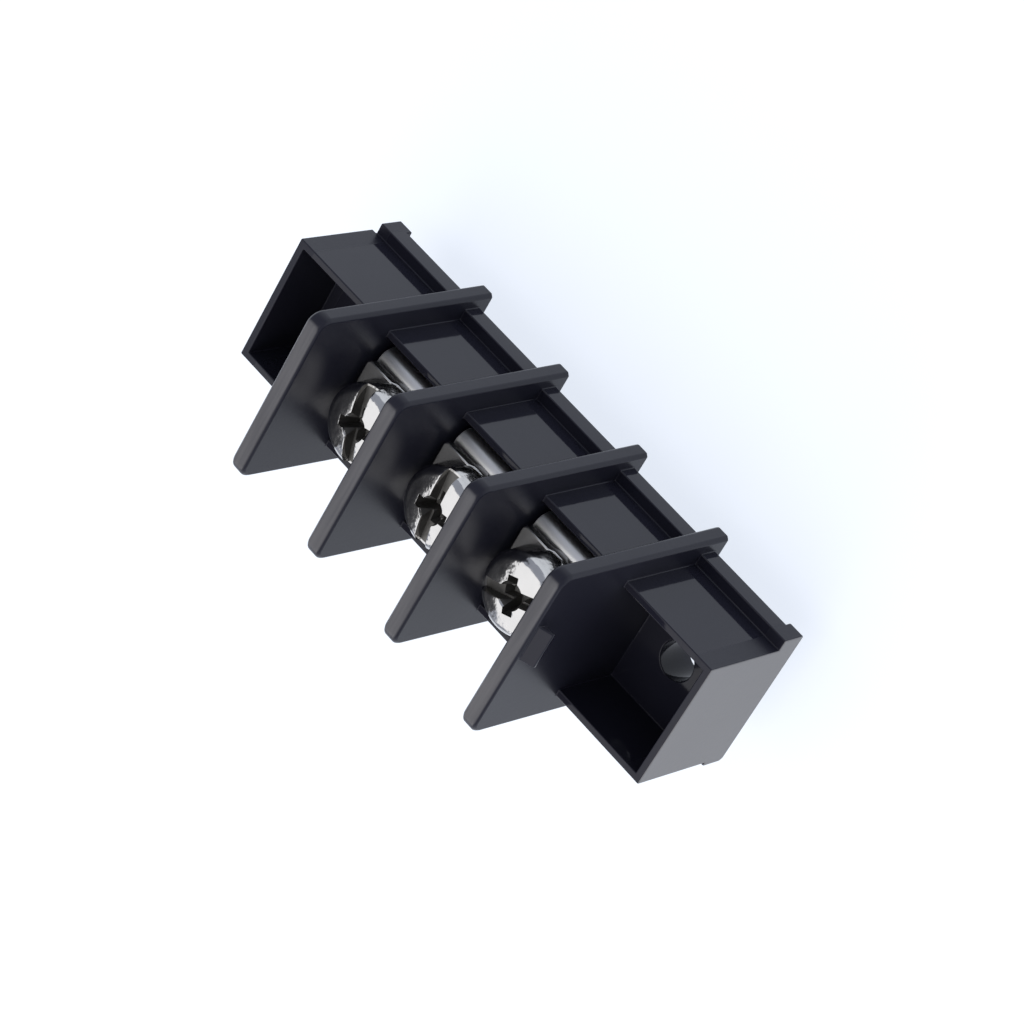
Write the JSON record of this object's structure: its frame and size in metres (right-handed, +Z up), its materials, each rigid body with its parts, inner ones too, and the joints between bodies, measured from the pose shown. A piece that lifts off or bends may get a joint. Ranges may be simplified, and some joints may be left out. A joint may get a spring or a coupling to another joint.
{
  "type": "pcb terminal block",
  "caption": "Black barrier terminal block for a circuit board: screw clamps with square plates in a row between tall fins, solder pins below, and an open mounting box at each end.",
  "frame": {"origin": "In the middle between the two mounting holes, on the underside of the flange, which is the plane z = 0. The fins reach 1.05 mm further down and stand on the circuit board.", "axes": "+X along the row of poles, from pole 3 to pole 1. +Z up, away from the board, the way the screws lift. +Y towards the back, where the solder pins are; the wide ledge of the flange is in front."},
  "size_m": [0.0494, 0.016, 0.0234],
  "materials": {
    "black_plastic": "glossy black moulding",
    "tinned_strip": "bright tin plate on sheet metal",
    "nickel_plate": "satin nickel plate on steel",
    "nickel_screw": "bright nickel plate on steel"
  },
  "bodies": {
    "housing": {"housing": "black_plastic", "terminal_1": "tinned_strip", "terminal_2": "tinned_strip", "terminal_3": "tinned_strip"},
    "clamp_plate_1": {"clamp_plate_1": "nickel_plate"},
    "screw_1": {"screw_1": "nickel_screw"},
    "clamp_plate_2": {"clamp_plate_2": "nickel_plate"},
    "screw_2": {"screw_2": "nickel_screw"},
    "clamp_plate_3": {"clamp_plate_3": "nickel_plate"},
    "screw_3": {"screw_3": "nickel_screw"}
  },
  "joints": [
    {"name": "clamp_lift_1", "type": "slide", "parent": "housing", "child": "clamp_plate_1", "axis": [0, 0, 1], "range_m": [0, 0.004]},
    {"name": "screw_turn_1", "type": "hinge", "parent": "clamp_plate_1", "child": "screw_1", "pos_m": [0.0095, -0.00015, 0.0112], "axis": [0, 0, 1], "range_deg": [0, 2400]},
    {"name": "clamp_lift_2", "type": "slide", "parent": "housing", "child": "clamp_plate_2", "axis": [0, 0, 1], "range_m": [0, 0.004]},
    {"name": "screw_turn_2", "type": "hinge", "parent": "clamp_plate_2", "child": "screw_2", "pos_m": [0, -0.00015, 0.0112], "axis": [0, 0, 1], "range_deg": [0, 2400]},
    {"name": "clamp_lift_3", "type": "slide", "parent": "housing", "child": "clamp_plate_3", "axis": [0, 0, 1], "range_m": [0, 0.004]},
    {"name": "screw_turn_3", "type": "hinge", "parent": "clamp_plate_3", "child": "screw_3", "pos_m": [-0.0095, -0.00015, 0.0112], "axis": [0, 0, 1], "range_deg": [0, 2400]}
  ],
  "couplings": [
    {"joint": "screw_turn_1", "follows": "clamp_lift_1", "rad_per_m": 10472},
    {"joint": "screw_turn_2", "follows": "clamp_lift_2", "rad_per_m": 10472},
    {"joint": "screw_turn_3", "follows": "clamp_lift_3", "rad_per_m": 10472}
  ]
}
